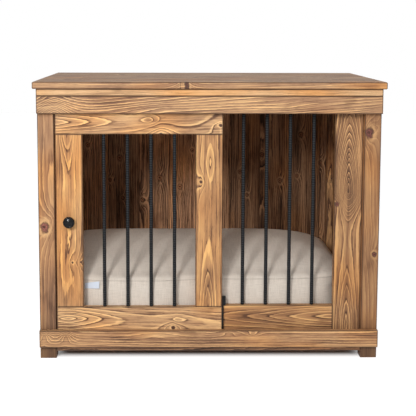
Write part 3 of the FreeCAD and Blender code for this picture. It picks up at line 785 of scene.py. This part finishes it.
def rub_and_highlight_crests(material):
    """Brightens a finish along the crests of the ribs, where it is rubbed, and as a painted highlight that
    makes the ribs show.
    """
    tree = Tree(material.node_tree)
    colour = material.node_tree.nodes["Principled BSDF"].inputs["Base Color"]
    lacquer = colour.links[0].from_socket
    height = tree.split(tree.place())[2]
    wave = tree.math("COSINE", tree.times(height, math.tau / RIB_PITCH))
    tree.put(colour, tree.mix(tree.smooth(wave, 0.1, 0.9, 0.0, 1.0), lacquer, CREST_WEAR_AND_HIGHLIGHT_COLOUR))


def make_bars():
    material = finish_material("bar_lacquer")
    rub_and_highlight_crests(material)
    for name in sorted(nodes):
        if "_bar_" in name:
            ribbed_bar(name, "door" if name.startswith("door_") else "crate", material)


# Knob

KNOB_SIDES = 64
PROFILE_STEPS = 6
# Control points of the profile, in shares of the knob's radius and projection
KNOB_PROFILE_SHARES = (
    (0.0, 0.0), (0.58, 0.0), (0.6, 0.02), (0.6, 0.11), (0.54, 0.13), (0.38, 0.22), (0.36, 0.34),
    (0.42, 0.46), (0.62, 0.53), (0.86, 0.55), (0.985, 0.63), (1.0, 0.74), (0.985, 0.87), (0.9, 0.965),
    (0.79, 0.985), (0.72, 0.92), (0.66, 0.9), (0.6, 0.912), (0.45, 0.944), (0.28, 0.975), (0.12, 0.995),
    (0.0, 1.0),
)
# Radius of the small caps that close both ends on the axis
KNOB_CAP_SHARE = 0.001


def smooth_profile(shares):
    """Points along a smooth curve near a profile's control points."""
    curve = bpy.data.curves.new("profile", "CURVE")
    curve.dimensions = "3D"
    spline = curve.splines.new("NURBS")
    spline.points.add(len(shares) - 1)
    for point, (radius, height) in zip(spline.points, shares):
        point.co = (radius, 0.0, height, 1.0)
    spline.order_u = 3
    spline.use_endpoint_u = True
    spline.resolution_u = PROFILE_STEPS
    holder = bpy.data.objects.new("profile", curve)
    line = bpy.data.meshes.new_from_object(holder)
    points = [(v.co.x, v.co.z) for v in line.vertices]
    bpy.data.objects.remove(holder)
    bpy.data.curves.remove(curve)
    bpy.data.meshes.remove(line)
    return points


def make_knob():
    """The turned knob, lathed about the axis that its solid has."""
    low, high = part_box("door_knob")
    rim = (high.x - low.x) / 2
    projection = high.y - low.y
    profile = smooth_profile(KNOB_PROFILE_SHARES)
    for end in (0, -1):
        profile[end] = (KNOB_CAP_SHARE, profile[end][1])
    points = []
    for radius, height in profile:
        for side in range(KNOB_SIDES):
            angle = math.tau * side / KNOB_SIDES
            x = (low.x + high.x) / 2 + radius * rim * math.cos(angle)
            z = (low.z + high.z) / 2 + radius * rim * math.sin(angle)
            points.append((x, high.y - height * projection, z))
    piece = mesh_piece("turned_knob", points, tube_faces(len(profile), KNOB_SIDES), "door")
    set_material(piece, finish_material("knob_enamel"))
    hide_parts("door_knob")


# Cushion

CUSHION_CORNER = 6.0
CUSHION_SIDES = 200
CUSHION_VOXEL = 0.008
# The form starts smaller than its solid, at the sides and at the top, because the cloth swells
CUSHION_SHRINK = 0.004
CUSHION_LOWER = 0.003
SEAM_HEIGHT = 0.1415
# Crown: how far in its top lies on each side, and the share of its height in which the front and the back
# stand steep above the seam
CROWN_REACH_LEFT = 0.09
CROWN_REACH_RIGHT = 0.30
CROWN_REACH_FRONT = 0.26
CROWN_REACH_BACK = 0.24
CROWN_LIP_SHARE = 0.18
CROWN_LEVELS = 24
BORDER_LEVELS = 8
BASE_ROUND = 0.025
# Front: it swells through the door's bay, and lies against the grille in the other
DOOR_BAY_SWELL = 0.026
DOOR_BAY_DEPTH = 6 * DOOR_BAY_SWELL
DOOR_BAY_END = -0.055
DOOR_BAY_BLEND = 0.05
# Cloth: its movement is capped, and dies away towards the seam
CLOTH_PRESSURE = 4.0
CLOTH_FRAMES = 20
CLOTH_QUALITY = 4
CLOTH_BENDING = 0.05
CLOTH_EASE = -0.015
CLOTH_CAP = 0.007
CLOTH_LEAST = 1e-9
SEAM_CALM = 0.04
SEAM_HELD = 0.6 * CUSHION_VOXEL


def cushion_ring(low, high, z):
    """One level of the cushion: a rounded rectangle between two corners."""
    middle = (low + high) / 2
    reach = (high - low) / 2
    ring = []
    for step in range(CUSHION_SIDES):
        angle = math.tau * step / CUSHION_SIDES
        round_turn = (math.cos(angle), math.sin(angle))
        x, y = (math.copysign(abs(part) ** (2 / CUSHION_CORNER), part) for part in round_turn)
        ring.append((middle.x + x * reach.x, middle.y + y * reach.y, z))
    return ring


def cushion_points(low, high, seam_z):
    """Rings of points: a drawn-in base, an upright border, and a crown with its own reach to each side."""
    points = []
    for step in range(BORDER_LEVELS):
        share = step / (BORDER_LEVELS - 1)
        rise = (seam_z - low.z) * share
        inset = BASE_ROUND * max(0.0, 1 - rise / BASE_ROUND) ** 2
        edge = Vector((inset, inset, 0.0))
        points += cushion_ring(low + edge, high - edge, low.z + rise)
    for step in range(1, CROWN_LEVELS + 1):
        turn = math.pi / 2 * step / CROWN_LEVELS
        height = math.sin(turn)
        full = 1 - math.sqrt(abs(math.cos(turn)))
        slack = 1 - math.cos(turn)
        dome = (1 - math.sqrt(1 - height)) * min(1.0, height / CROWN_LIP_SHARE)
        near = low + Vector((CROWN_REACH_LEFT * full, CROWN_REACH_FRONT * dome, 0.0))
        far = high - Vector((CROWN_REACH_RIGHT * slack, CROWN_REACH_BACK * dome, 0.0))
        points += cushion_ring(near, far, seam_z + (high.z - seam_z) * height)
    return points


def smooth_step(value):
    value = np.clip(value, 0.0, 1.0)
    return value * value * (3 - 2 * value)


def swell_door_bay(points, low):
    """Moves the front forward where the door's bay leaves it room."""
    in_bay = smooth_step((DOOR_BAY_END - points[:, 0]) / DOOR_BAY_BLEND)
    near_front = smooth_step((low.y + DOOR_BAY_DEPTH - points[:, 1]) / DOOR_BAY_DEPTH)
    points[:, 1] -= DOOR_BAY_SWELL * in_bay * near_front


def vertex_array(mesh):
    flat = np.empty(len(mesh.vertices) * 3)
    mesh.vertices.foreach_get("co", flat)
    return flat.reshape(-1, 3)


def apply_modifiers(piece):
    """Puts the evaluated mesh in the place of the piece's own."""
    evaluated = piece.evaluated_get(bpy.context.evaluated_depsgraph_get())
    mesh = bpy.data.meshes.new_from_object(evaluated)
    piece.modifiers.clear()
    old = piece.data
    piece.data = mesh
    bpy.data.meshes.remove(old)


def blow_up(piece, low, seam_z):
    """Cloth under pressure, held at the base and along the seam, its movement capped."""
    start = vertex_array(piece.data)
    held = piece.vertex_groups.new(name="held")
    on_seam = np.abs(start[:, 2] - seam_z) < SEAM_HELD
    resting = start[:, 2] < low.z + CUSHION_VOXEL
    held.add(np.nonzero(on_seam | resting)[0].tolist(), 1.0, "REPLACE")
    cloth = piece.modifiers.new("cloth", "CLOTH")
    settings = cloth.settings
    settings.quality = CLOTH_QUALITY
    settings.use_pressure = True
    settings.uniform_pressure_force = CLOTH_PRESSURE
    settings.effector_weights.gravity = 0.0
    settings.vertex_group_mass = "held"
    settings.shrink_min = CLOTH_EASE
    settings.bending_stiffness = CLOTH_BENDING
    cloth.point_cache.frame_start = 1
    cloth.point_cache.frame_end = CLOTH_FRAMES
    scene = bpy.context.scene
    for step in range(1, CLOTH_FRAMES + 1):
        scene.frame_set(step)
    apply_modifiers(piece)
    scene.frame_set(1)
    moved = vertex_array(piece.data) - start
    far = np.linalg.norm(moved, axis=1, keepdims=True)
    moved *= np.minimum(1.0, CLOTH_CAP / np.maximum(far, CLOTH_LEAST))
    moved *= smooth_step(np.abs(start[:, 2:] - seam_z) / SEAM_CALM)
    piece.data.vertices.foreach_set("co", (start + moved).ravel())
    piece.data.update()


def make_cushion():
    """The linen cushion: modelled, blown up as cloth, smoothed and sewn."""
    low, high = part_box("cushion")
    seam_z = low.z + SEAM_HEIGHT
    shrink = Vector((CUSHION_SHRINK, CUSHION_SHRINK, 0.0))
    lower = Vector((0.0, 0.0, CUSHION_LOWER))
    points = np.array(cushion_points(low + shrink, high - shrink - lower, seam_z))
    swell_door_bay(points, low)
    faces = tube_faces(BORDER_LEVELS + CROWN_LEVELS, CUSHION_SIDES)
    piece = mesh_piece("linen_cushion", points, faces, "crate")
    remesh = piece.modifiers.new("even", "REMESH")
    remesh.mode = "VOXEL"
    remesh.voxel_size = CUSHION_VOXEL
    apply_modifiers(piece)
    blow_up(piece, low, seam_z)
    smooth = piece.modifiers.new("smooth", "SUBSURF")
    smooth.levels = 1
    smooth.render_levels = 1
    apply_modifiers(piece)
    piece.data.shade_smooth()
    cloth = linen_material(seam_z)
    set_material(piece, cloth)
    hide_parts("cushion")
    mesh = piece.data
    surface = BVHTree.FromPolygons([v.co for v in mesh.vertices], [p.vertices for p in mesh.polygons])
    middle = (low + high) / 2
    make_seam_band(surface, middle, seam_z, cloth)
    make_stitches(surface, middle, seam_z)
    make_tab(surface, seam_z)


# Seam: a felled band proud of the cloth, with a row of stitches

SEAM_STEPS = 640
SEAM_LEVELS = (0.004, 0.0026, 0.0010, -0.0010, -0.003, -0.0044)
SEAM_PROUD = (0.0001, 0.0006, 0.0010, 0.0013, 0.0016, 0.0018)
LOOK_FROM = 1.0
STITCH_LEVEL = -0.0030
STITCH_PROUD = 0.0013
STITCH_LENGTH = 0.0030
STITCH_RADIUS = 0.0004
STITCH_EVERY = 0.0042
STITCH_SIDES = 4
# A stitch's rings: their places along its length, and their radii
STITCH_SHARES = ((-0.5, 0.3), (-0.3, 1.0), (0.3, 1.0), (0.5, 0.3))


def seam_points(surface, middle, z, proud):
    """Points round the cushion at one height, standing proud of its surface."""
    points = []
    for step in range(SEAM_STEPS):
        angle = math.tau * step / SEAM_STEPS
        outward = Vector((math.cos(angle), math.sin(angle), 0.0))
        start = Vector((middle.x, middle.y, z)) + outward * LOOK_FROM
        place, normal, _, _ = surface.ray_cast(start, -outward)
        points.append(place + normal * proud)
    return points


def make_seam_band(surface, middle, seam_z, cloth):
    """The band: a tube without caps, whose levels go down, so its faces are turned round."""
    points = []
    for level, proud in zip(SEAM_LEVELS, SEAM_PROUD):
        points += seam_points(surface, middle, seam_z + level, proud)
    walls = tube_faces(len(SEAM_LEVELS), SEAM_STEPS)[:-2]
    faces = [(a, d, c, b) for a, b, c, d in walls]
    band = mesh_piece("cushion_seam_band", points, faces, "crate")
    set_material(band, cloth)


def make_stitches(surface, middle, seam_z):
    line = seam_points(surface, middle, seam_z + STITCH_LEVEL, STITCH_PROUD)
    line.append(line[0])
    points = []
    faces = []
    walked = 0.0
    for start, end in zip(line, line[1:]):
        walked += (end - start).length
        if walked < STITCH_EVERY:
            continue
        walked = 0.0
        along = (end - start).normalized()
        outward = Vector((0.0, 0.0, 1.0)).cross(along)
        first = len(points)
        for share, width in STITCH_SHARES:
            centre = start + along * STITCH_LENGTH * share
            for side in range(STITCH_SIDES):
                angle = math.tau * (side + 0.5) / STITCH_SIDES
                offset = outward * math.cos(angle) + Vector((0.0, 0.0, math.sin(angle)))
                points.append(centre + offset * STITCH_RADIUS * width)
        stitch = tube_faces(len(STITCH_SHARES), STITCH_SIDES)
        faces += [tuple(first + corner for corner in face) for face in stitch]
    stitches = mesh_piece("cushion_stitches", points, faces, "crate")
    set_material(stitches, thread_material())


# Tab: a blank folded tape sewn in below the seam

TAB_LEFT_X = -0.362
TAB_RIGHT_X = -0.319
TAB_TOP = -0.0060
TAB_WIDTH = 0.0205
TAB_TAPER_SHARE = 0.25
TAB_RISE = 0.0085
TAB_THICKNESS = 0.0007
TAB_CLEAR = 0.0008
TAB_STANDS_OFF = 0.0055
TAB_STEPS = 12


def make_tab(surface, seam_z):
    """The folded tape tab: held at its left end, lifting off the cloth towards the right one."""
    points = []
    for step in range(TAB_STEPS + 1):
        share = step / TAB_STEPS
        x = TAB_LEFT_X + (TAB_RIGHT_X - TAB_LEFT_X) * share
        top = seam_z + TAB_TOP + TAB_RISE * (share - 1)
        bottom = top - TAB_WIDTH * (1 - TAB_TAPER_SHARE * (1 - share))
        off = TAB_CLEAR + TAB_STANDS_OFF * share ** 2
        corners = ((top, 0.0), (top, 1.0), (bottom, 1.0), (bottom, 0.0))
        for z, back in corners:
            hit = surface.ray_cast(Vector((x, -LOOK_FROM, z)), Vector((0.0, 1.0, 0.0)))
            points.append(hit[0] + Vector((0.0, back * TAB_THICKNESS - off - TAB_THICKNESS, 0.0)))
    tab = mesh_piece("cushion_tab", points, tube_faces(TAB_STEPS + 1, len(corners)), "crate", smooth=False)
    set_material(tab, tab_material())


# Cloth, thread and tape

THREAD_DARK = (0.66, 0.59, 0.51)
THREAD_PALE = (0.82, 0.74, 0.65)
THREAD_WAVES = (1500.0, 1500.0, 1500.0)
TAPE_DARK = (0.66, 0.73, 0.85)
TAPE_PALE = (0.78, 0.84, 0.93)
TAPE_WAVES = (1800.0, 40.0, 120.0)
TAPE_DEPTH = 0.0002
TAPE_BUMP = 0.4
LINEN_DARK = (0.655, 0.575, 0.49)
LINEN_PALE = (0.85, 0.76, 0.665)
WEAVE_PITCH = 0.0012
WEAVE_CROSSING = 0.25
WARP_WAVES = (30.0, 480.0, 1.0)
WEFT_WAVES = (480.0, 30.0, 1.0)
WEFT_SEED = 4.0
WEAVE_FACING_POWER = 4.0
WEAVE_DEPTH = 0.0005
WEAVE_BUMP = 0.5
# Painted shade: a dark line under the seam band
SEAM_PAINTED_SHADE_COLOUR = (0.2, 0.165, 0.13)
SEAM_PAINTED_SHADE_LEVEL = -0.0056
SEAM_PAINTED_SHADE_HALF = 0.0016
SEAM_PAINTED_SHADE_STRENGTH = 0.3


def thread_material():
    material, tree, shader = new_material("thread")
    twist = tree.noise(tree.place(), THREAD_WAVES, 0.0, 1.0)
    tree.fill(shader, {"Base Color": tree.mix(twist, THREAD_DARK, THREAD_PALE), "Roughness": 0.7})
    return material


def tab_material():
    """Pale satin tape with a fine cross rib."""
    material, tree, shader = new_material("tab_tape")
    rib = tree.noise(tree.place(), TAPE_WAVES, 0.0)
    tree.fill(shader, {
        "Base Color": tree.mix(rib, TAPE_DARK, TAPE_PALE),
        "Roughness": 0.45,
        "Normal": tree.bump(rib, TAPE_DEPTH, TAPE_BUMP),
    })
    return material


def make_weave_group():
    """Plain weave with slubs on a plane given by two lengths."""
    group, tree, given, out = new_group("weave", {"U": "Float", "V": "Float"}, {"Height": "Float"})
    turns = math.tau / WEAVE_PITCH
    over, under = (tree.math("SINE", tree.times(given[way], turns)) for way in "UV")
    crossing = tree.times(tree.times(over, under), WEAVE_CROSSING)
    place = tree.join(given["U"], given["V"], 0.0)
    slubs = tree.plus(tree.noise(place, WARP_WAVES, 0.0), tree.noise(place, WEFT_WAVES, WEFT_SEED))
    tree.put(out["Height"], tree.plus(slubs, crossing))
    return group


def linen_material(seam_z):
    """Linen whose weave lies along the faces that it covers, with a painted shade line under the seam."""
    weave_group = make_weave_group()
    material, tree, shader = new_material("linen_weave")
    coordinates = tree.add("ShaderNodeTexCoord").outputs
    x, y, z = tree.split(coordinates["Object"])
    facing = tree.split(tree.vector("ABSOLUTE", coordinates["Normal"]))
    weave = 0.0
    total = 0.0
    for weight, u, v in zip(facing, (y, x, x), (z, z, y)):
        sharp = tree.math("POWER", weight, WEAVE_FACING_POWER)
        plane = tree.add("ShaderNodeGroup", node_tree=weave_group)
        tree.fill(plane, {"U": u, "V": v})
        weave = tree.plus(weave, tree.times(plane.outputs["Height"], sharp))
        total = tree.plus(total, sharp)
    weave = tree.math("DIVIDE", weave, total)
    cloth = tree.mix(tree.spread(weave, 0.65, 1.35, 0.0, 1.0), LINEN_DARK, LINEN_PALE)
    # Painted shade under the seam band's lower edge
    below = tree.math("ABSOLUTE", tree.minus(z, seam_z + SEAM_PAINTED_SHADE_LEVEL))
    line = tree.smooth(below, 0.0, SEAM_PAINTED_SHADE_HALF, SEAM_PAINTED_SHADE_STRENGTH, 0.0)
    tree.fill(shader, {
        "Base Color": tree.mix(line, cloth, SEAM_PAINTED_SHADE_COLOUR),
        "Roughness": 0.9,
        "Normal": tree.bump(weave, WEAVE_DEPTH, WEAVE_BUMP),
        "Specular IOR Level": 0.15,
    })
    return material


# Camera, lights and floor

def make_camera():
    camera = bpy.data.cameras.new("camera")
    camera.sensor_width = CAMERA_SENSOR
    camera.lens = CAMERA_LENS
    camera.shift_x, camera.shift_y = CAMERA_SHIFT_SHARES
    yaw, pitch, roll = (math.radians(angle) for angle in (CAMERA_YAW, CAMERA_PITCH, CAMERA_ROLL))
    turned = Matrix.Rotation(yaw, 4, "Z") @ Matrix.Rotation(math.pi / 2 - pitch, 4, "X")
    holder = new_object("camera", camera)
    holder.matrix_world = Matrix.Translation(CAMERA_PLACE) @ turned @ Matrix.Rotation(roll, 4, "Z")
    bpy.context.scene.camera = holder


def area_light(name, place, aim, size, power):
    light = bpy.data.lights.new(name, "AREA")
    light.shape = "RECTANGLE"
    light.size, light.size_y = size
    light.energy = power
    holder = new_object(name, light)
    holder.location = place
    holder.rotation_euler = (Vector(aim) - Vector(place)).to_track_quat("-Z", "Y").to_euler()


def seen_directly(tree):
    """One for what the camera, a reflection or glass shows, and nothing for light that falls on things."""
    path = tree.add("ShaderNodeLightPath").outputs
    seen = tree.math("MAXIMUM", path["Is Camera Ray"], path["Is Transmission Ray"])
    return tree.math("MAXIMUM", seen, path["Is Glossy Ray"])


def make_world():
    """White to the camera and to reflections, and a soft even light for the rest."""
    world = bpy.data.worlds.new("studio")
    world.use_nodes = True
    bpy.context.scene.world = world
    tree = Tree(world.node_tree)
    strength = tree.spread(seen_directly(tree), 0.0, 1.0, AMBIENT_STRENGTH, 1.0)
    tree.fill(world.node_tree.nodes["Background"], {"Color": WHITE, "Strength": strength})


def make_floor():
    """A pale floor that keeps the crate's shadow, with a painted glow that shows it white to the camera and
    fades out under the crate as a painted shadow.
    """
    mesh = bpy.data.meshes.new("floor")
    corners = [(x * FLOOR_HALF, y * FLOOR_HALF, 0.0) for x, y in ((-1, -1), (1, -1), (1, 1), (-1, 1))]
    mesh.from_pydata(corners, [], [(0, 1, 2, 3)])
    floor = new_object("floor", mesh)
    material, tree, shader = new_material("floor_paint_and_painted_glow")
    place = tree.vector("ABSOLUTE", tree.place())
    beyond = tree.split(tree.vector("SUBTRACT", place, (cad_high[0], cad_high[1], 0.0)))
    outside = tree.math("SMOOTH_MAX", beyond[0], beyond[1], FLOOR_PAINTED_GLOW_ROUND)
    # Painted light: the glow is full away from the crate and dies out under its edges, a painted contact
    # shadow
    painted_glow = tree.smooth(outside, *FLOOR_PAINTED_GLOW_FADE, 0.0, FLOOR_PAINTED_GLOW)
    tree.fill(shader, {
        "Base Color": FLOOR_COLOUR,
        "Roughness": 0.7,
        "Specular IOR Level": 0.1,
        "Emission Color": WHITE,
        "Emission Strength": tree.times(seen_directly(tree), painted_glow),
    })
    set_material(floor, material)


def make_studio():
    bpy.context.scene.view_settings.view_transform = "Standard"
    make_camera()
    make_world()
    make_floor()
    area_light("key", KEY_PLACE, KEY_AIM, KEY_SIZE, KEY_POWER)
    area_light("fill", FILL_PLACE, KEY_AIM, FILL_SIZE, FILL_POWER)


dress_timbers()
make_bars()
make_knob()
dress_plain_fittings()
make_cushion()
make_studio()
